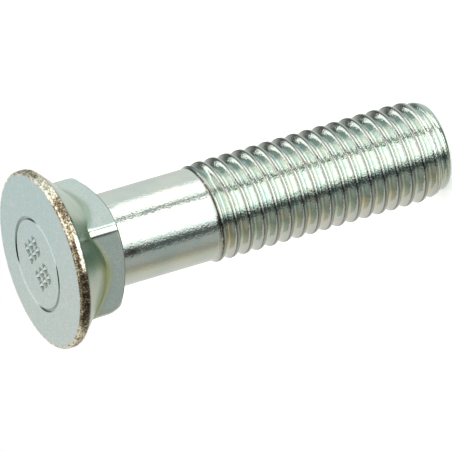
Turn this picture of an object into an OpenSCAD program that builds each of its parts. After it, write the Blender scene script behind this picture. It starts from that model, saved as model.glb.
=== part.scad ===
// Countersunk bolt with a square neck, forged and rolled from one piece.
// It stands on its flat end with the head up. The modules measure z from the face
// of the head towards the tip, and bolt() turns them over and sets the tip on z = 0.

/* [Head] */
// Diameter of the head across its rim
head_d = 21.3; // [16:0.1:30]
// Height of the straight rim under the flat face
rim_h = 1.3; // [0.4:0.1:3]
// Bevel round the edge of the face
face_edge = 0.15; // [0.05:0.05:0.5]
// Full angle of the countersunk cone in degrees
cone_angle = 90; // [60:1:120]

/* [Ring pressed in the face] */
// Diameter of the ring at the middle of its groove
ring_d = 11.1; // [6:0.1:14]
// Place of the ring's middle, off the middle of the face
ring_shift = [-0.3, -1.1]; // [-1.5:0.1:1.5]
// Width of the groove at the face
ring_w = 0.55; // [0.2:0.05:1.5]
// Depth of the groove
ring_depth = 0.2; // [0.05:0.05:0.5]

/* [Square neck] */
// Width of the neck across its flats
neck_w = 12.35; // [9:0.05:18]
// Diameter over the corners beside the cone
corner_d = 16.6; // [12:0.1:22]
// Diameter over the corners at their far end
corner_end_d = 16.2; // [12:0.1:22]
// Distance from the face to the far end of the corners
corner_end = 7.1; // [5:0.1:12]
// Distance from the face to the neck's shoulder
neck_end = 8.1; // [5:0.05:14]
// Turn of the neck about the axis
neck_turn = 35.8; // [-45:0.1:45]

/* [Shank] */
// Diameter of the plain shank
shank_d = 11.15; // [8:0.05:16]
// Length over all, from the face to the tip
bolt_length = 50.9; // [30:0.1:120]

/* [Thread] */
// Diameter over the crests
thread_d = 11.85; // [8:0.05:16]
// Pitch of the thread
pitch = 1.75; // [1:0.05:2.5]
// Depth from crest to root
thread_depth = 0.95; // [0.5:0.01:1.4]
// Width of the flat crest
crest_w = 0.35; // [0.1:0.05:0.6]
// Width of the flat root
root_w = 0.3; // [0.1:0.05:0.6]
// Distance from the face to the end of the plain shank
thread_start = 19.6; // [12:0.01:40]
// Distance from the face to the first crest on the +X side
first_crest = 20.33; // [12:0.01:40]
// Length over which the first crest rises from the shank
crest_rise = 0.5; // [0.1:0.1:2]
// Length over which the first grooves reach their depth
root_fall = 2; // [0.5:0.1:6]
// Sides of each turn
turn_sides = 48; // [24:4:64]

/* [Tip] */
// Diameter of the flat end
tip_d = 9.6; // [6:0.1:12]
// Length of the rounded lead-in at the tip
tip_h = 3.5; // [1:0.1:6]

/* [Hidden] */
metal = [0.75, 0.79, 0.77];
round_sides = 96;

head_r = head_d / 2;
neck_r = neck_w / 2;
shank_r = shank_d / 2;
thread_r = thread_d / 2;
tip_r = tip_d / 2;

// The cone runs on inside the neck, down to a core that the shank covers.
core_r = shank_r - 0.6;
cone_end = rim_h + (head_r - core_r) / tan(cone_angle / 2);
neck_start = rim_h + 1;
chamfer_r = corner_end_d / 2 - 0.25;
chamfer_end = corner_end + 0.3;
shoulder_round = 0.15;

// The thread begins inside the shank's end, with its sides just under the surface.
seat = 0.03;
thread_seat = thread_start - 0.8;
rise_start = thread_start + 0.6;

// Lead-in: full diameter, the middle of the round, and the flat end.
tip_z = [bolt_length - tip_h, bolt_length - tip_h / 2, bolt_length];
tip_radii = [thread_r, thread_r - 0.32 * (thread_r - tip_r), tip_r];

// Rows of the thread over one pitch: share of the pitch, and depth below the crest.
flank_w = (pitch - crest_w - root_w) / 2;
row_z = [-crest_w / 2, crest_w / 2, crest_w / 2 + flank_w, crest_w / 2 + flank_w + root_w];
row_deep = [0, 0, 1, 1];
row_count = len(row_z);
turns = ceil((bolt_length - thread_seat) / pitch) + 3;
rows = turns * row_count;
first_turn = first_crest - 3 * pitch;

function ease(t) = let (s = min(1, max(0, t))) s * s * (3 - 2 * s);

function lead_in(z) =
    z < tip_z[0] ? tip_radii[0]
    : z < tip_z[1] ? tip_radii[0] + (tip_radii[1] - tip_radii[0]) * (z - tip_z[0]) / (tip_z[1] - tip_z[0])
    : tip_radii[1] + (tip_radii[2] - tip_radii[1]) * (z - tip_z[1]) / (tip_z[2] - tip_z[1]);

function crest_radius(z) =
    shank_r - seat + (thread_r - shank_r + seat) * ease((z - rise_start) / crest_rise);

function root_radius(z) =
    shank_r - seat
    + (thread_r - thread_depth - shank_r + seat) * ease((z - rise_start) / root_fall);

function thread_radius(z, deep) =
    z < thread_seat ? shank_r - 10 * seat
    : min(deep > 0 ? root_radius(z) : crest_radius(z), lead_in(z));

// Row j of side i, held between the seat in the shank and the flat end.
function row_point(i, j) =
    let (
        raw = first_turn + pitch * (floor(j / row_count) + i / turn_sides) + row_z[j % row_count],
        z = min(bolt_length, max(thread_seat, raw)),
        r = raw >= bolt_length ? tip_r
            : raw <= thread_seat ? shank_r - 10 * seat
            : thread_radius(z, row_deep[j % row_count]),
        turned = 360 * i / turn_sides
    )
    [r * cos(turned), r * sin(turned), z];

function row_index(i, j) =
    i < turn_sides ? i * (rows + 1) + j : min(rows, j + row_count);

function apart(a, b) = norm(a - b) > 0.0001;

module thread() {
    points = [for (i = [0:turn_sides - 1]) for (j = [0:rows]) row_point(i, j)];
    sides = [
        for (i = [0:turn_sides - 1]) for (j = [0:rows - 1])
            let (
                a = row_index(i, j), b = row_index(i + 1, j),
                c = row_index(i + 1, j + 1), d = row_index(i, j + 1)
            )
            each [[a, d, b], [d, c, b]]
    ];
    walls = [
        for (f = sides)
            if (apart(points[f[0]], points[f[1]]) && apart(points[f[1]], points[f[2]])
                && apart(points[f[2]], points[f[0]])) f
    ];
    seat_face = [for (i = [0:turn_sides - 1]) row_index(i, 0)];
    end_face = [for (i = [turn_sides - 1:-1:0]) row_index(i, rows)];
    polyhedron(points, concat(walls, [seat_face], [end_face]), convexity = 10);
}

// Cutter for the ring's groove. Its sides run on above the face at the same slope.
module ring_groove() {
    side_w = 0.3 * ring_w;
    translate([ring_shift.x, ring_shift.y, 0])
        rotate_extrude($fn = round_sides)
            polygon([
                [ring_d / 2 - ring_w / 2 - side_w, -ring_depth],
                [ring_d / 2 + ring_w / 2 + side_w, -ring_depth],
                [ring_d / 2 + ring_w / 5, ring_depth],
                [ring_d / 2 - ring_w / 5, ring_depth]
            ]);
}

module head() {
    difference() {
        rotate_extrude($fn = round_sides)
            polygon([
                [0, 0],
                [head_r - face_edge, 0],
                [head_r, face_edge],
                [head_r, rim_h],
                [core_r, cone_end],
                [0, cone_end]
            ]);
        ring_groove();
    }
}

module neck() {
    intersection() {
        rotate(neck_turn)
            translate([-neck_r, -neck_r, neck_start])
                cube([neck_w, neck_w, neck_end - neck_start]);
        rotate_extrude($fn = round_sides)
            polygon([
                [0, neck_start],
                [corner_d / 2, neck_start],
                [corner_end_d / 2, corner_end],
                [chamfer_r, chamfer_end],
                [shank_r + shoulder_round, neck_end],
                [0, neck_end]
            ]);
    }
}

module shank() {
    translate([0, 0, rim_h])
        cylinder(h = thread_start - rim_h, r = shank_r, $fn = round_sides);
}

module bolt() {
    color(metal)
        translate([0, 0, bolt_length])
            rotate([180, 0, 0]) {
                head();
                neck();
                shank();
                thread();
            }
}

bolt();
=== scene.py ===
"""A zinc-plated countersunk bolt with a square neck, standing on its flat end.

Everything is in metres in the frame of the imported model. The shape functions work in
millimetres: along runs from the face of the head to the tip, out is the distance from
the axis, and turn goes round it from +X towards -Y.
"""

import math

import bpy
import numpy as np
from mathutils import Matrix, Vector


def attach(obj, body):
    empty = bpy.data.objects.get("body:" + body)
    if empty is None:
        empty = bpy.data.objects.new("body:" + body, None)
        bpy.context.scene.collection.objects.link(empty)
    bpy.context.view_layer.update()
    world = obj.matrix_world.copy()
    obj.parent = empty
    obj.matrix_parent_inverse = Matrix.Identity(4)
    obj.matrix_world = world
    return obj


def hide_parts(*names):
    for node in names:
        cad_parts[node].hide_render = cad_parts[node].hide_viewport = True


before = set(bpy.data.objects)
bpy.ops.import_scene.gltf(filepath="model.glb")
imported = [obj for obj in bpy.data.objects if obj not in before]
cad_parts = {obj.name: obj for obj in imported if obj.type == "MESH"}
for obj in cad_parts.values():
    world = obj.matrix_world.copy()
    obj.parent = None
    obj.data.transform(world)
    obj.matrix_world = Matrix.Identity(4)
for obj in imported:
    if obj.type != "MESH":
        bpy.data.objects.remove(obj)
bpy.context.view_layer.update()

# Sizes of the bolt in millimetres, as in the part's source.
HEAD_R, RIM_H = 10.65, 1.3
RING_R, RING_W, RING_DEPTH = 5.55, 0.55, 0.2
NECK_R, CORNER_R, CORNER_END_R = 6.175, 8.3, 8.1
CORNER_END, NECK_END, NECK_TURN = 7.1, 8.1, math.radians(35.8)
CHAMFER_IN, CHAMFER_DROP, SHOULDER_ROUND = 0.25, 0.3, 0.15
SHANK_R, LENGTH = 5.575, 50.9
CREST_R, PITCH, DEPTH = 5.925, 1.75, 0.95
CREST_W, THREAD_START, FIRST_CREST = 0.35, 19.6, 20.33
RISE_START, CREST_RISE, ROOT_FALL = THREAD_START + 0.6, 0.5, 2
TIP_R, TIP_H = 4.8, 3.5
MM = 0.001

# The photograph's view: lean of the axis out of the picture, its slope in the
# picture, the scale, and where the middle of the face falls, in pixels.
AXIS_DEPTH, AXIS_SLOPE = math.radians(21.76), math.radians(16.39)
PIXELS, PIXELS_PER_MM = 452, 8.68
FACE_PIXEL = (39.9, 260.8)
CAMERA_DISTANCE = 2400.0
SENSOR_W = 36

# Points round the bolt in each row of the two surfaces.
HEAD_COLUMNS, THREAD_COLUMNS = 400, 232


def stand_up(along, out, turn):
    """Points of the standing bolt: the tip is on the floor and the face at the top."""
    placed = np.broadcast_arrays(out * np.cos(turn), -out * np.sin(turn), LENGTH - along)
    return np.stack(placed, axis=-1) * MM


def smooth_step(value, low, high):
    """0 below low, 1 above high, and 3t^2 - 2t^3 between them."""
    t = np.clip((value - low) / (high - low), 0, 1)
    return t * t * (3 - 2 * t)


def soft_least(a, b, blend):
    """The smaller of two surfaces, with the edge between them rounded off."""
    low, gap = np.minimum(a, b), np.abs(a - b)
    return low - blend * np.log1p(np.exp(-gap / blend))


def soft_most(a, b, blend):
    """The larger of two surfaces, with the corner between them filled."""
    return -soft_least(-a, -b, blend)


def mound(value, middle, width):
    """exp(-t^2), with t the distance from the middle in widths: 1 there, and 0 far away."""
    return np.exp(-(((value - middle) / width) ** 2))


def lumps(along, turn, seed, waves=30, finest=7):
    """Even roughness about 0: a sum of sine waves of seeded directions and phases.

    along is in millimetres; the waves run whole numbers of times round the bolt.
    """
    rng = np.random.default_rng(seed)
    total = np.zeros(np.broadcast(along, turn).shape)
    for _ in range(waves):
        length = rng.uniform(0.15, 1.0) * finest
        rounds = rng.integers(1, max(2, int(11 * length)))
        sway, phase = rng.uniform(-length, length), rng.uniform(0, 2 * math.pi)
        total += np.sin(sway * along + rounds * turn + phase)
    return total / math.sqrt(waves)


# The ring and what is pressed inside it sit off the middle of the face: millimetres
# towards a turn of 0 and towards a quarter turn.
PRESS_SHIFT = (-0.3, -1.1)
RING_DEEPEST = math.radians(120)
MIDDLE_DEPTH = 0.03
TURNING_DEPTH, TURNING_STEP = 0.0025, 0.8


def face_depth(reach, turn):
    """How deep the face lies under its plane, and its painted shade, about the ring's middle.

    A ring groove with sloping sides, a middle pressed a little lower than the outside, two
    clusters of raised pips inside the ring, and faint turning rings outside it. The groove
    is deepest, and gets the most painted shade, at RING_DEEPEST and on the other side of the ring.
    """
    deepest = np.cos(2 * turn - 2 * RING_DEEPEST)
    groove = 1 - smooth_step(np.abs(reach - RING_R), 0, RING_W * 0.45)
    groove = RING_DEPTH * (1.05 + 0.25 * deepest) * groove
    middle = MIDDLE_DEPTH * (1 - smooth_step(reach, RING_R - 0.3, RING_R + 0.3))
    rings = TURNING_DEPTH * np.cos(reach * 2 * math.pi / TURNING_STEP)
    rings = rings * smooth_step(reach, 6.0, 6.4) * smooth_step(-reach, -9.0, -7.0)
    raised, dent = pips(reach, turn)
    # Painted shade: the dents round the pips and the groove's bottom are darkened, most where it is
    # deepest.
    grime = np.maximum(0.75 * dent, (0.2 + 0.3 * deepest) * mound(reach, RING_R, 0.1))
    return groove + middle + rings - raised, grime


# Two clusters of plain pips, each two by three, in millimetres from the ring's middle.
PIP_CLUSTERS = ((1.75, -0.35), (-1.65, 0.5))
PIP_STEPS, CLUSTER_TURN = (1.15, 1.35), math.radians(-12)
PIP_R, PIP_RISE, DENT_W, DENT_DEPTH = 0.54, 0.22, 0.14, 0.07


def pips(reach, turn):
    """Height of the raised pips, and how deep one stands in the dents round them.

    Each pip is a smooth round bump, 1 - 3t^2 + 2t^3, with a ring-shaped dent at its foot.
    """
    x, y = reach * np.cos(turn), reach * np.sin(turn)
    height = np.zeros(np.broadcast(reach, turn).shape)
    dent = np.zeros_like(height)
    for middle_x, middle_y in PIP_CLUSTERS:
        for column in (-0.5, 0.5):
            for row in (-1, 0, 1):
                step_x, step_y = column * PIP_STEPS[0], row * PIP_STEPS[1]
                pip_x = middle_x + step_x * math.cos(CLUSTER_TURN) - step_y * math.sin(CLUSTER_TURN)
                pip_y = middle_y + step_x * math.sin(CLUSTER_TURN) + step_y * math.cos(CLUSTER_TURN)
                away = np.hypot(x - pip_x, y - pip_y)
                height += PIP_RISE * (1 - smooth_step(away, 0.1 * PIP_R, 0.9 * PIP_R))
                dent = np.maximum(dent, mound(away, PIP_R, DENT_W))
    return height - DENT_DEPTH * dent, dent


# Rounds of the rim's two edges, and how deep its roughness cuts.
EDGE_ROUND, BACK_ROUND, RIM_ROUGH = 0.42, 0.3, 0.04

# How bright the rim is at a turn round it, from bare dark steel at 0 to cream at 1: worn plating together
# with painted highlights and painted shade.
RIM_WEAR_AND_SHADING = (
    (0, 0.52), (20, 0.45), (33, 0.68), (50, 0.72), (58, 0.36), (68, 0.4),
    (80, 0.42), (90, 0.25), (104, 0.26), (120, 0.2), (138, 0.26), (150, 0.52),
    (168, 0.6), (205, 0.6), (240, 0.75), (280, 0.85), (335, 0.8), (360, 0.52),
)


def rim_wear_and_shading(along, turn):
    """Brightness of the rim by the turn, from worn plating and painted highlights and shade, with a pale
    rear edge in front.

    The front edge keeps a thin pale line, a painted highlight. The rear edge is pale from 80 to 105
    degrees, a painted highlight too.
    """
    degrees = np.degrees(turn) % 360
    turns, levels = zip(*RIM_WEAR_AND_SHADING)
    # Painted highlights on the rear edge in front and along the front edge.
    pale_rear = smooth_step(degrees, 75, 88) * smooth_step(-degrees, -108, -99)
    rear = 0.62 * pale_rear * smooth_step(along, 0.55, 0.85)
    front = 0.3 * mound(along, 0.16, 0.1)
    return np.interp(degrees, turns, levels) + rear + front


def neck_radius(along, turn):
    """Radius of the neck, and its painted shade: a square with round corners, cut by a cone at its end.

    A flat lies at NECK_R / cos(angle from the middle of that flat). A corner falls in by
    the square of the way past a place that differs a little from corner to corner. Painted
    shade lies along the far edge and in a thin dark line down one side of the corner in front.
    """
    quarter = math.pi / 2
    off_middle = (turn - NECK_TURN + quarter / 2) % quarter - quarter / 2
    flats = NECK_R / np.cos(off_middle)
    falls_from = 5.85 + 0.75 * np.cos(turn - math.radians(55))
    corners = CORNER_R - 0.14 * np.maximum(along - falls_from, 0) ** 2
    end_rise = CORNER_END_R - CHAMFER_IN - SHANK_R - SHOULDER_ROUND
    end_slope = end_rise / (NECK_END - CORNER_END - CHAMFER_DROP)
    end_cone = SHANK_R + SHOULDER_ROUND + (NECK_END - along) * end_slope
    side = soft_least(flats, corners, 0.11)
    # Painted shade: dark where the flats run into the end cone, and a thin dark line beside the front
    # corner.
    far_edge = 1 - smooth_step(end_cone - side, 0.15, 0.6)
    corner_line = mound(turn, NECK_TURN + math.radians(49), math.radians(0.9))
    grime = np.maximum(far_edge, corner_line * smooth_step(-along, -7.5, -5.5))
    return soft_least(side, end_cone, 0.08 + 0.17 * smooth_step(side, 6.8, 7.8)), grime


def head_points():
    """Rows of points from the middle of the face, over the rim and cone, along the neck.

    The last two arrays say how much painted shade a point has, and how pale the rim is
    there from its wear and its painted highlights and shade; on the cone the last one is how
    far the fillet's painted shade shows.
    """
    turn = np.linspace(0, 2 * math.pi, HEAD_COLUMNS, endpoint=False)[None, :]

    # Circles about the ring's middle, whose own middle slides to the axis on the way out.
    reach = np.concatenate([
        np.linspace(0.06, 5.0, 60), np.linspace(RING_R - 0.4, RING_R + 0.4, 26),
        np.linspace(6.1, HEAD_R - EDGE_ROUND - 0.08, 22)
    ])[:, None]
    slide = 1 - smooth_step(reach, RING_R + 0.5, HEAD_R - 0.5)
    x = reach * np.cos(turn) + PRESS_SHIFT[0] * slide
    y = reach * np.sin(turn) + PRESS_SHIFT[1] * slide
    depth, grime = face_depth(reach, turn)
    face = depth, np.hypot(x, y), np.arctan2(y, x), grime, 0.5

    # The rim: a quarter round off the face, a straight wall and a small round to the cone.
    bend = np.linspace(0, math.pi / 2, 10)[1:, None]
    wall = np.linspace(EDGE_ROUND + 0.08, RIM_H - BACK_ROUND, 10)[:, None]
    corner = np.linspace(0, math.pi / 4, 6)[1:, None]
    rim_along = np.concatenate([EDGE_ROUND * (1 - np.cos(bend)), wall,
                                RIM_H - BACK_ROUND + BACK_ROUND * np.sin(corner)])
    rim_out = np.concatenate([HEAD_R - EDGE_ROUND * (1 - np.sin(bend)), np.full_like(wall, HEAD_R),
                              HEAD_R - BACK_ROUND * (1 - np.cos(corner))])
    rough = -RIM_ROUGH * np.abs(lumps(rim_along * 2, turn, seed=5))
    rim_out = rim_out + rough * smooth_step(rim_along, 0.02, 0.25)
    rim = rim_along, rim_out, turn, 0, rim_wear_and_shading(rim_along, turn)

    # The cone, filled into the square neck where they meet.
    below = np.concatenate([
        np.linspace(RIM_H - 0.02, 3.2, 12), np.linspace(3.26, 6.0, 52), np.linspace(6.1, 6.8, 6),
        np.linspace(6.86, NECK_END - 0.01, 26)
    ])[:, None]
    cone = HEAD_R + RIM_H - BACK_ROUND * (2 - math.sqrt(2)) - below
    square, neck_painted_shade = neck_radius(below, turn)
    # Painted shade: a dark olive band in the fillet where cone meets neck, strongest from about 120
    # degrees round.
    fillet_shade = mound(cone - square, 0.25, 0.75) * (0.3 + 0.7 * smooth_step(turn, 1.7, 2.1))
    neck_painted_shade = neck_painted_shade * smooth_step(square - cone, 0, 0.2)
    body = below, soft_most(cone, square, 0.22), turn, neck_painted_shade, fillet_shade

    # A last circle inside the shank, which closed_surface joins to a pole.
    closing = np.full((1, 1), NECK_END - 0.02), np.full((1, 1), SHANK_R - 0.2), turn, 1, 0
    parts = [np.broadcast_arrays(*part) for part in (face, rim, body, closing)]
    return tuple(np.concatenate(rows) for rows in zip(*parts))


# Where the rows of one turn of the thread lie, in millimetres from its crest: rows in
# and beside the root, the flanks, and close rows at the two fine lips of the crest.
ROWS = np.array([-0.875, -0.79, -0.72, -0.64, -0.4, -0.24, -0.19, -0.15, -0.11,
                 0.0, 0.11, 0.15, 0.19, 0.24, 0.45, 0.64, 0.72, 0.79])

# Where the shank's surface begins inside the neck, and the turns it has before the
# thread's first and after its last one.
SEAT = 5.5
SHANK_TURNS, TIP_TURNS = 3, 2

# Fine seams along both edges of the crest: distance from its middle, width, depth.
SEAM_AT, SEAM_W, SEAM_DEPTH = 0.165, 0.035, 0.025

# The round between the tip's side and its flat end, and the lead-in at the tip:
# (distance from the tip, radius).
END_ROUND = 0.07
LEAD_IN = ((TIP_H, CREST_R), (2.3, 5.78), (1.24, 5.5), (0.7, 5.37), (0.2, 5.12), (0, TIP_R + 0.1))


def lead_in(along):
    """Largest radius near the tip: straight stretches that follow a round."""
    from_tip, radii = zip(*LEAD_IN)
    return np.interp(along, LENGTH - np.array(from_tip), radii)


def thread_radius(along, off_crest):
    """Radius at a place along the bolt and a distance from the nearest crest, and the seams.

    Flat crest, flanks of 30 degrees (rise = run times the root of 3) and a round root,
    all rounded into each other; a fine seam runs along each edge of the crest.
    """
    risen = smooth_step(along, RISE_START, RISE_START + CREST_RISE)
    fallen = smooth_step(along, RISE_START, RISE_START + ROOT_FALL)
    crest = SHANK_R + (CREST_R - SHANK_R) * risen
    root = SHANK_R + (CREST_R - DEPTH - SHANK_R) * fallen
    flank = crest - (np.abs(off_crest) - CREST_W / 2) * math.sqrt(3)
    ridge = soft_least(crest, flank, 0.025)
    seam = mound(np.abs(off_crest), SEAM_AT, SEAM_W) * risen
    shape = soft_most(ridge - SEAM_DEPTH * seam, root, 0.06)
    threaded = smooth_step(along, RISE_START - 0.3, RISE_START + 0.1)
    radius = SHANK_R + (shape - SHANK_R) * threaded
    return soft_least(radius, lead_in(along) - 0.8 * SEAM_DEPTH * seam, 0.03), seam


def shank_points():
    """Rows that follow the helix, from inside the neck to the middle of the tip.

    A point t turns along the helix is FIRST_CREST + PITCH * t along the bolt, and a row
    keeps its distance from the crest all the way round. On the plain shank and on the
    end face the turns grow longer by a square law. Where the path runs on past the seat
    or past the tip, the point moves in towards the axis by as much.
    """
    last_crest = (LENGTH - FIRST_CREST) / PITCH
    first, last = -SHANK_TURNS - 1, math.ceil(last_crest) + TIP_TURNS
    per_turn = len(ROWS)
    row = np.arange((last - first) * per_turn)
    base = first + row // per_turn + ROWS[row % per_turn] / PITCH
    column = np.arange(THREAD_COLUMNS) / THREAD_COLUMNS
    t = base[:, None] + column[None, :]

    short = np.minimum(t + 1, 0)
    past = np.maximum(t - last_crest - 0.2, 0)
    path = FIRST_CREST + PITCH * t - 3.3 * short**2 + 2.6 * past**2

    off_crest = np.broadcast_to(((base - np.round(base)) * PITCH)[:, None], t.shape)
    out, seam = thread_radius(np.clip(path, SEAT, LENGTH), off_crest)
    inward = np.maximum(SEAT - path, 0) + END_ROUND * np.logaddexp(0, (path - LENGTH) / END_ROUND)
    along = soft_least(np.maximum(path, SEAT), np.float64(LENGTH), 0.05)
    turn = np.broadcast_to(2 * math.pi * column, t.shape)

    # Painted shade: a dark line at the start of the first groove, where the first crest's step throws
    # shadow, two dark spots on the shank beside the neck, and the crest seams darkened.
    first_line = 1.3 * mound(base * PITCH, -0.11 * PITCH, 0.09)[:, None] * smooth_step(-turn, -3.2, -2.2)
    patch = mound(along, NECK_END + 0.9, 0.8) * mound(turn, math.radians(111), 0.1)
    spot = 0.8 * mound(along, NECK_END + 0.7, 0.3) * mound(turn, math.radians(50), 0.05)
    grime = np.maximum(np.maximum(seam, spot), np.maximum(first_line, patch))
    return along, np.maximum(out - inward, 0), turn, grime, np.zeros_like(grime), per_turn


def triangles(first, second, third):
    """Rows of three point numbers each, from three arrays of one shape."""
    return np.stack(np.broadcast_arrays(first, second, third), -1).reshape(-1, 3)


def join_rows(out, rows_per_turn):
    """Triangles over a grid of points, facing outward; the two poles are numbered last.

    After a full turn a row joins the row that lies rows_per_turn further on. Points at
    a radius of 0 are all the pole there, and triangles that shrink to nothing go.
    """
    rows, columns = out.shape
    index = np.arange(rows * columns).reshape(rows, columns)
    first_pole, last_pole = rows * columns, rows * columns + 1
    half = rows // 2
    index[:half][out[:half] <= 1e-9] = first_pole
    index[half:][out[half:] <= 1e-9] = last_pole

    lifted = np.full((rows, 1), last_pole)
    lifted[: rows - rows_per_turn, 0] = index[rows_per_turn:, 0]
    wrapped = np.concatenate([index, lifted], axis=1)
    a, b = wrapped[:-1, :-1], wrapped[:-1, 1:]
    c, d = wrapped[1:, 1:], wrapped[1:, :-1]
    faces = [triangles(a, b, d), triangles(d, b, c)]
    if rows_per_turn == 0:
        start, end = wrapped[0], wrapped[-1]
        faces += [triangles(first_pole, start[1:], start[:-1]), triangles(last_pole, end[:-1], end[1:])]
    faces = np.concatenate(faces)
    return faces[np.all(faces != np.roll(faces, 1, axis=1), axis=1)]


def closed_surface(name, along, out, turn, grime, wear, rows_per_turn=0):
    """A closed mesh over rows of points, with a pole in the middle of each end's row."""
    points = stand_up(along, out, turn)
    poles = np.stack([points[0].mean(axis=0), points[-1].mean(axis=0)])
    points = np.concatenate([points.reshape(-1, 3), poles])
    used, faces = np.unique(join_rows(out, rows_per_turn), return_inverse=True)
    faces = faces.reshape(-1, 3)

    mesh = bpy.data.meshes.new(name)
    mesh.from_pydata(points[used].tolist(), [], faces.tolist())
    mesh.update()
    mesh.shade_smooth()
    for attribute, values in (("along", along), ("out", out), ("grime", grime), ("wear", wear)):
        layer = mesh.attributes.new(attribute, "FLOAT", "POINT")
        at_poles = [values[0].mean(), values[-1].mean()]
        layer.data.foreach_set("value", np.append(values, at_poles)[used].astype(np.float32))
    piece = bpy.data.objects.new(name, mesh)
    bpy.context.scene.collection.objects.link(piece)
    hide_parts("bolt")
    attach(piece, "root")
    return piece


head = closed_surface("head_and_neck", *head_points())
shank = closed_surface("shank_and_thread", *shank_points())


class Tree:
    """A shader tree: node() adds a node, with its settings first and then its values.

    A value goes to the input socket of that name, or to the input of that number, as _0.
    """

    def __init__(self, nodes_of):
        nodes_of.use_nodes = True
        self.tree = nodes_of.node_tree
        self.tree.nodes.clear()

    def node(self, kind, settings=None, output=0, **values):
        made = self.tree.nodes.new(kind)
        for setting, value in (settings or {}).items():
            if setting == "stops":
                self._set_stops(made.color_ramp, value)
            else:
                setattr(made, setting, value)
        for socket, value in values.items():
            at = int(socket[1:]) if socket[0] == "_" and socket[1:].isdigit() else socket.replace("_", " ")
            self.feed(made.inputs[at], value)
        return Wire(self, made.outputs[output]) if len(made.outputs) else None

    def feed(self, socket, value):
        if isinstance(value, Wire):
            self.tree.links.new(value.socket, socket)
        else:
            socket.default_value = value

    @staticmethod
    def _set_stops(ramp, stops):
        while len(ramp.elements) < len(stops):
            ramp.elements.new(1)
        for element, (place, colour) in zip(ramp.elements, stops):
            element.position = place
            element.color = (*colour, 1)


class Wire:
    """One output socket. Arithmetic on it adds Math nodes."""

    def __init__(self, tree, socket):
        self.tree, self.socket = tree, socket

    def _math(self, operation, a, b):
        return self.tree.node("ShaderNodeMath", {"operation": operation}, _0=a, _1=b)

    def __add__(self, other):
        return self._math("ADD", self, other)

    def __sub__(self, other):
        return self._math("SUBTRACT", self, other)

    def __rsub__(self, other):
        return self._math("SUBTRACT", other, self)

    def __mul__(self, other):
        return self._math("MULTIPLY", self, other)

    __radd__, __rmul__ = __add__, __mul__

    def step(self, low, high):
        """0 below low and 1 above high, or the other way round, with a smooth rise."""
        return self.tree.node("ShaderNodeMapRange", {"interpolation_type": "SMOOTHSTEP"},
                              Value=self, From_Min=low, From_Max=high)


def mixed(tree, share, first, second):
    """A colour that goes from first to second as share goes from 0 to 1."""
    if not isinstance(first, Wire):
        first = (*first, 1)
    if not isinstance(second, Wire):
        second = (*second, 1)
    return tree.node("ShaderNodeMix", {"data_type": "RGBA"}, output=2, _0=share, _6=first, _7=second)


def bolt_place(tree):
    """Object coordinates in millimetres."""
    place = tree.node("ShaderNodeTexCoord", output=3)
    return tree.node("ShaderNodeMapping", Vector=place, Scale=(1000, 1000, 1000))


def grain(tree, place, size, detail=3.0):
    """Noise from 0 to 1 whose patches are about size millimetres across."""
    return tree.node("ShaderNodeTexNoise", Vector=place, Scale=1 / size, Detail=detail)


def plated_metal(name, colour_of):
    """A zinc plating whose colour, roughness and height colour_of(tree, place) gives."""
    material = bpy.data.materials.new(name)
    tree = Tree(material)
    place = bolt_place(tree)
    colour, roughness, height = colour_of(tree, place)
    bump = tree.node("ShaderNodeBump", Strength=1.0, Distance=0.001, Height=height)
    surface = tree.node("ShaderNodeBsdfPrincipled", Base_Color=colour, Roughness=roughness,
                        Metallic=1.0, Normal=bump)
    tree.node("ShaderNodeOutputMaterial", Surface=surface)
    return material


def mesh_layer(tree, name):
    """A value that the mesh holds at each of its points."""
    return tree.node("ShaderNodeAttribute", {"attribute_name": name}, output=2)


# Colours of the plating, from the clean metal to bare steel, and the dark colours of painted shade; the
# fillet's olive is painted shade too, and the flanks' tan a painted reflection.
FACE_WARM, FACE_BLUE = (0.455, 0.475, 0.45), (0.345, 0.455, 0.47)
FACE_PALE, FACE_GREEN, FACE_DULL = (0.50, 0.49, 0.49), (0.38, 0.48, 0.45), (0.33, 0.41, 0.41)
CONE_GREEN, CONE_PALE, FILLET_SHADE_OLIVE = (0.46, 0.56, 0.47), (0.56, 0.60, 0.50), (0.325, 0.33, 0.155)
NECK_BLUE, NECK_PALE, NECK_DULL = (0.58, 0.66, 0.64), (0.66, 0.70, 0.66), (0.52, 0.60, 0.58)
SPECK_GREY, SPECK_BROWN, HEAD_SHADE = (0.22, 0.24, 0.22), (0.16, 0.15, 0.12), (0.10, 0.08, 0.055)
RIM_STOPS = (
    (0.05, (0.035, 0.026, 0.018)), (0.3, (0.13, 0.10, 0.07)), (0.52, (0.36, 0.29, 0.19)),
    (0.75, (0.72, 0.66, 0.52)), (0.95, (0.95, 0.93, 0.88)),
)
SHANK_COOL, SHANK_WARM, CREST_GREY = (0.55, 0.61, 0.58), (0.63, 0.65, 0.60), (0.44, 0.46, 0.43)
FLANK_COOL, FLANK_WARM, FLANK_TAN_REFLECTION = (0.55, 0.66, 0.63), (0.67, 0.685, 0.61), (0.70, 0.64, 0.51)
THREAD_SHADE = (0.07, 0.055, 0.045)


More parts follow.
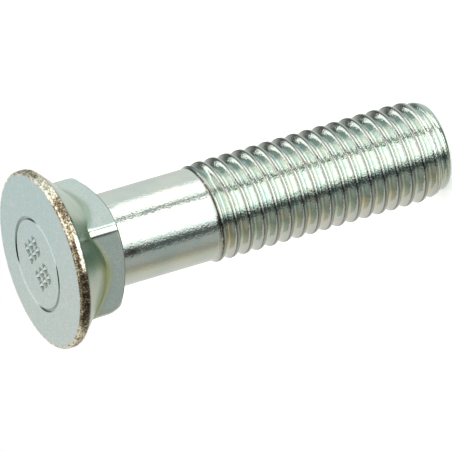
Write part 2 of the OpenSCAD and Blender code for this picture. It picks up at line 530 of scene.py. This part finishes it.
def forged_head(tree, place):
    """Pale zinc, bluish on the face and neck and greenish on the cone, with a worn rim that carries
    painted highlights and shade, and painted shade in the face's hollows, along the neck's edges and in
    the fillet.
    """
    along, out = mesh_layer(tree, "along"), mesh_layer(tree, "out")
    grime, wear = mesh_layer(tree, "grime"), mesh_layer(tree, "wear")
    broad, patches = grain(tree, place, 2.5), grain(tree, place, 0.7)
    fine, specks = grain(tree, place, 0.2), grain(tree, place, 0.16, detail=1.0)

    side = tree.node("ShaderNodeSeparateXYZ", output=0, Vector=place) + (broad - 0.5) * 12
    face = mixed(tree, side.step(-7, 8), FACE_WARM, FACE_BLUE)
    face = mixed(tree, patches.step(0.52, 0.66) * 0.8, face, FACE_PALE)
    face = mixed(tree, patches.step(0.46, 0.34) * 0.6, face, FACE_GREEN)
    face = mixed(tree, (fine - 0.5) * 3.6 + 0.5, FACE_DULL, face)
    cone = mixed(tree, broad.step(0.35, 0.65), CONE_GREEN, CONE_PALE)
    neck = mixed(tree, broad.step(0.35, 0.65), NECK_BLUE, NECK_PALE)
    neck = mixed(tree, fine.step(0.3, 0.7), NECK_DULL, neck)
    body = mixed(tree, along.step(RIM_H, RIM_H + 0.3), face, cone)
    body = mixed(tree, (out - (HEAD_R + RIM_H - along)).step(0.1, 0.25), body, neck)
    # Painted shade: a dark olive band in the fillet between cone and neck.
    body = mixed(tree, wear * along.step(RIM_H + 0.2, RIM_H + 0.6) * 0.9, body, FILLET_SHADE_OLIVE)
    body = mixed(tree, specks.step(0.68, 0.78) * 0.45, body, SPECK_GREY)
    near_edge = out.step(HEAD_R - 0.6, HEAD_R - 0.4) * (1 - along.step(0.5, 0.8))
    body = mixed(tree, near_edge * specks.step(0.56, 0.66) * 0.7, body, SPECK_BROWN)
    # Painted shade in the groove, the pip dents and along the neck's edges.
    body = mixed(tree, grime * fine.step(0.25, 0.5) * 0.8, body, HEAD_SHADE)

    # The rim's colour: worn plating with painted highlights and painted shade by the turn.
    mottle = wear + (fine - 0.5) * 1.6 + (patches - 0.5)
    rim_colour = tree.node("ShaderNodeValToRGB", {"stops": RIM_STOPS}, Fac=mottle)
    on_rim = out.step(HEAD_R - 0.48, HEAD_R - 0.25) * (1 - along.step(RIM_H - 0.12, RIM_H + 0.05))
    colour = mixed(tree, on_rim, body, rim_colour)
    roughness = 0.14 + 0.08 * fine + on_rim * 0.24
    height = 0.006 * fine + 0.006 * patches + on_rim * fine * 0.05
    return colour, roughness, height


def rolled_thread(tree, place):
    """Bright zinc on the rolled shank and thread, with a fine orange peel, painted shade along the crest
    seams, by the neck and at the first groove, and a painted warm reflection on the flanks of the -X side.
    """
    out, grime = mesh_layer(tree, "out"), mesh_layer(tree, "grime")
    broad, patches = grain(tree, place, 3.0), grain(tree, place, 0.6)
    fine, peel = grain(tree, place, 0.21, detail=1.0), grain(tree, place, 0.5, detail=1.0)
    colour = mixed(tree, broad.step(0.3, 0.7), SHANK_COOL, SHANK_WARM)
    flank = mixed(tree, patches.step(0.3, 0.7), FLANK_COOL, FLANK_WARM)
    # Painted reflection: a tan tint on the flanks of the -X side, for the warm surroundings they mirror.
    low_side = tree.node("ShaderNodeSeparateXYZ", output=0, Vector=place).step(-1.2, -2.6)
    flank = mixed(tree, low_side * broad.step(0.46, 0.64) * 0.7, flank, FLANK_TAN_REFLECTION)
    colour = mixed(tree, (SHANK_R - out).step(0.02, 0.3), colour, flank)
    colour = mixed(tree, (out - CREST_R).step(-0.16, -0.06), colour, CREST_GREY)
    # Painted shade: the crest seams, the first groove's start and the spots by the neck are darkened.
    colour = mixed(tree, grime * patches.step(0.2, 0.5) * 0.85, colour, THREAD_SHADE)
    roughness = 0.06 + 0.05 * fine
    return colour, roughness, 0.020 * fine + 0.010 * peel


head.data.materials.append(plated_metal("forged_zinc", forged_head))
shank.data.materials.append(plated_metal("rolled_zinc", rolled_thread))


def make_camera():
    """The photograph's view: the camera looks down on the bolt and lies on its side.

    Seen level, the bolt's axis is upright. The roll lays it along the picture, with
    the face at the left and the tip rising to the right.
    """
    back = Vector((0, -math.cos(AXIS_DEPTH), math.sin(AXIS_DEPTH)))
    level_right = Vector((1, 0, 0))
    level_up = Vector((0, math.sin(AXIS_DEPTH), math.cos(AXIS_DEPTH)))
    right = -math.sin(AXIS_SLOPE) * level_right - math.cos(AXIS_SLOPE) * level_up
    up = math.cos(AXIS_SLOPE) * level_right - math.sin(AXIS_SLOPE) * level_up
    face = Vector((0, 0, LENGTH))
    aim = (face + right * ((PIXELS / 2 - FACE_PIXEL[0]) / PIXELS_PER_MM)
           + up * ((FACE_PIXEL[1] - PIXELS / 2) / PIXELS_PER_MM))
    lens = bpy.data.cameras.new("camera")
    lens.sensor_width = SENSOR_W
    lens.lens = SENSOR_W * CAMERA_DISTANCE / (PIXELS / PIXELS_PER_MM)
    lens.clip_end = 20
    camera = bpy.data.objects.new("camera", lens)
    turned = Matrix((right, up, back)).transposed().to_4x4()
    camera.matrix_world = Matrix.Translation((aim + back * CAMERA_DISTANCE) * MM) @ turned
    bpy.context.scene.collection.objects.link(camera)
    bpy.context.scene.camera = camera


make_camera()

# The room that the metal mirrors. The side of a cylinder that is seen edge to edge
# mirrors a half turn of the room, so what stands round the bolt is given by the turn
# from 0 to 180 degrees at which it shows: (turn, brightness, tint).
GREY, COOL, MILD = (0.98, 1.0, 0.96), (0.92, 1.0, 0.97), (0.95, 1.0, 0.97)
TEAL, OLIVE = (0.80, 1.0, 0.98), (0.98, 1.0, 0.8)
WARM, ROSE = (1.0, 0.98, 0.82), (1.0, 0.98, 0.92)
BRIGHTEST = 3.4
LOW_PANELS = (
    (0, 0.85, GREY), (20, 0.85, COOL), (44, 0.9, TEAL), (48, 2.6, GREY), (65, 2.8, GREY),
    (67.5, 0.03, TEAL), (71.5, 0.03, TEAL), (74, 3.2, GREY), (97, 3.2, GREY),
    (103, 0.9, COOL), (106, 0.1, TEAL), (112, 0.1, TEAL), (116, 0.6, COOL),
    (125, 0.58, OLIVE), (140, 0.74, OLIVE), (156, 0.7, ROSE), (180, 0.7, GREY),
)
PANELS = (
    (0, 0.78, GREY), (12, 0.78, GREY), (28, 0.95, MILD), (46.5, 1.0, MILD), (50, 1.9, GREY),
    (65, 1.9, GREY), (68.5, 0.4, COOL), (70.5, 0.4, COOL), (74, 2.2, GREY), (98, 2.1, GREY),
    (104, 1.1, COOL), (108, 0.17, COOL), (114, 0.12, COOL), (118.5, 0.54, COOL),
    (127, 0.5, COOL), (134, 0.40, WARM), (146, 0.74, WARM), (153, 0.79, ROSE), (180, 0.78, GREY),
)
FAR_PANELS = (
    (44, 0.6, TEAL), (49, 1.3, GREY), (63, 1.4, GREY), (66, 0.1, COOL), (69, 0.1, COOL),
    (71.5, 1.6, GREY), (98, 1.6, GREY), (103, 0.6, COOL), (106, 0.07, TEAL), (112, 0.07, TEAL),
    (117, 0.36, COOL), (130, 0.36, OLIVE), (146, 0.68, WARM), (156, 0.72, ROSE), (172, 0.8, ROSE),
)
HORIZON = ((0, 0.9, GREY), (20, 0.5, TEAL), (36, 0.55, TEAL), *FAR_PANELS, (180, 0.9, GREY))
RAISED = ((0, 1.15, GREY), (5, 1.1, GREY), (9, 0.6, ROSE), (16, 0.24, COOL), (24, 0.2, COOL),
          (30, 0.5, TEAL), *FAR_PANELS, (176, 1.1, GREY), (180, 1.15, GREY))
HIGH = (*RAISED[:2], (9, 0.12, COOL), (24, 0.08, COOL), *RAISED[5:])

# From LOW_PANELS upward: the heights between which the room goes over into the next band.
BANDS = (
    (-0.49, -0.43, PANELS), (-0.29, -0.23, HORIZON), (-0.05, 0.01, RAISED), (0.33, 0.43, HIGH),
)
UNDERNEATH = (0.205, 0.285, 0.235)


def make_room():
    """The world: light panels round the bolt, and a sky that is bright on one side.

    The panels are brightest low down and fainter from the horizon up. The sky is bright
    from a little past the middle over to the +X side. On the -X side it is dark in front
    and straight up, so that pressed edges show a light and a dark side. Underneath it is
    dark. A small lamp stands where the face mirrors it when the bolt is seen from behind.
    """
    world = bpy.data.worlds.new("studio")
    bpy.context.scene.world = world
    tree = Tree(world)
    direction = tree.node("ShaderNodeTexCoord", output=0)
    east, north, height = (
        tree.node("ShaderNodeSeparateXYZ", output=axis, Vector=direction) for axis in range(3))
    bearing = tree.node("ShaderNodeMath", {"operation": "ARCTAN2"}, _0=east, _1=north * -1)
    around = 0.5 - bearing * (0.5 / math.pi)

    def light(bright, tint=GREY):
        return tuple(bright / BRIGHTEST * part for part in tint)

    def ring(panels):
        stops = [(turn / 180, light(bright, tint)) for turn, bright, tint in panels]
        return tree.node("ShaderNodeValToRGB", {"stops": stops}, Fac=around)

    light_side = east.step(-0.3, -0.15)
    straight_up = mixed(tree, light_side, light(0.04), light(1.7))
    dim = mixed(tree, north.step(0.1, -0.2), light(0.7), light(0.03))
    sky = mixed(tree, light_side, dim, light(1.6))
    sky = mixed(tree, height.step(0.88, 0.92), sky, straight_up)

    room = mixed(tree, height.step(-0.86, -0.905), ring(LOW_PANELS), light(1, UNDERNEATH))
    for low, high, panels in BANDS:
        room = mixed(tree, height.step(low, high), room, ring(panels))
    room = mixed(tree, height.step(0.5, 0.6), room, sky)

    lamp_sides = around.step(0.32, 0.345) * around.step(0.43, 0.405)
    lamp = lamp_sides * height.step(0.12, 0.18) * height.step(0.4, 0.34)
    room = mixed(tree, lamp, room, light(1.15))
    background = tree.node("ShaderNodeBackground", Color=room, Strength=BRIGHTEST)
    tree.node("ShaderNodeOutputWorld", Surface=background)


make_room()


# How white the floor is, and how much light lifts it to full white where it is seen.
FLOOR_WHITE, FLOOR_LIFT, FLOOR_SIDE = 0.88, 0.43, 3.0
WALL_R, WALL_H, WALL_COUNT = 0.12, 0.14, 96


def set_stage(name, corners, sides, surface_of):
    """A part of the stage. The metal mirrors the room's panels in its place."""
    mesh = bpy.data.meshes.new(name)
    mesh.from_pydata(corners, [], sides)
    stage = bpy.data.objects.new(name, mesh)
    stage.visible_glossy = False
    stage.visible_shadow = False
    bpy.context.scene.collection.objects.link(stage)
    material = bpy.data.materials.new(name)
    tree = Tree(material)
    rays = tree.tree.nodes.new("ShaderNodeLightPath")
    seen_by = ("Is Camera Ray", "Is Glossy Ray", "Is Transmission Ray")
    camera, glossy, through = (Wire(tree, rays.outputs[ray]) for ray in seen_by)
    tree.node("ShaderNodeOutputMaterial", Surface=surface_of(tree, camera + glossy + through))
    mesh.materials.append(material)
    return stage


def floor_paint(tree, seen):
    """Matt white, lifted to full white where it is seen, so that it keeps the bolt's shadow."""
    paint = tree.node("ShaderNodeBsdfDiffuse", Color=(FLOOR_WHITE, FLOOR_WHITE, FLOOR_WHITE, 1))
    glow = tree.node("ShaderNodeEmission", Color=(1, 1, 1, 1), Strength=seen * FLOOR_LIFT)
    return tree.node("ShaderNodeAddShader", _0=paint, _1=glow)


def wall_paint(tree, seen):
    """White on the inside of the round wall; its outside is clear, to look in from any side."""
    white = tree.node("ShaderNodeEmission", Color=(1, 1, 1, 1), Strength=seen)
    clear = tree.node("ShaderNodeBsdfTransparent", Color=(1, 1, 1, 1))
    outside = tree.node("ShaderNodeNewGeometry", output=6)
    return tree.node("ShaderNodeMixShader", _0=outside, _1=white, _2=clear)


def make_stage():
    """A white floor, with a low round white wall behind the bolt on every side."""
    corners = [(FLOOR_SIDE * x, FLOOR_SIDE * y, 0) for x, y in ((-1, -1), (1, -1), (1, 1), (-1, 1))]
    set_stage("floor", corners, [(0, 1, 2, 3)], floor_paint)
    turns = [2 * math.pi * i / WALL_COUNT for i in range(WALL_COUNT)]
    corners = [(WALL_R * math.cos(turn), WALL_R * math.sin(turn), height)
               for height in (0, WALL_H) for turn in turns]
    following = [(i + 1) % WALL_COUNT for i in range(WALL_COUNT)]
    sides = [(i, i + WALL_COUNT, j + WALL_COUNT, j) for i, j in enumerate(following)]
    wall = set_stage("round_wall", corners, sides, wall_paint)
    wall.visible_diffuse = False


make_stage()
bpy.context.scene.view_settings.view_transform = "Standard"
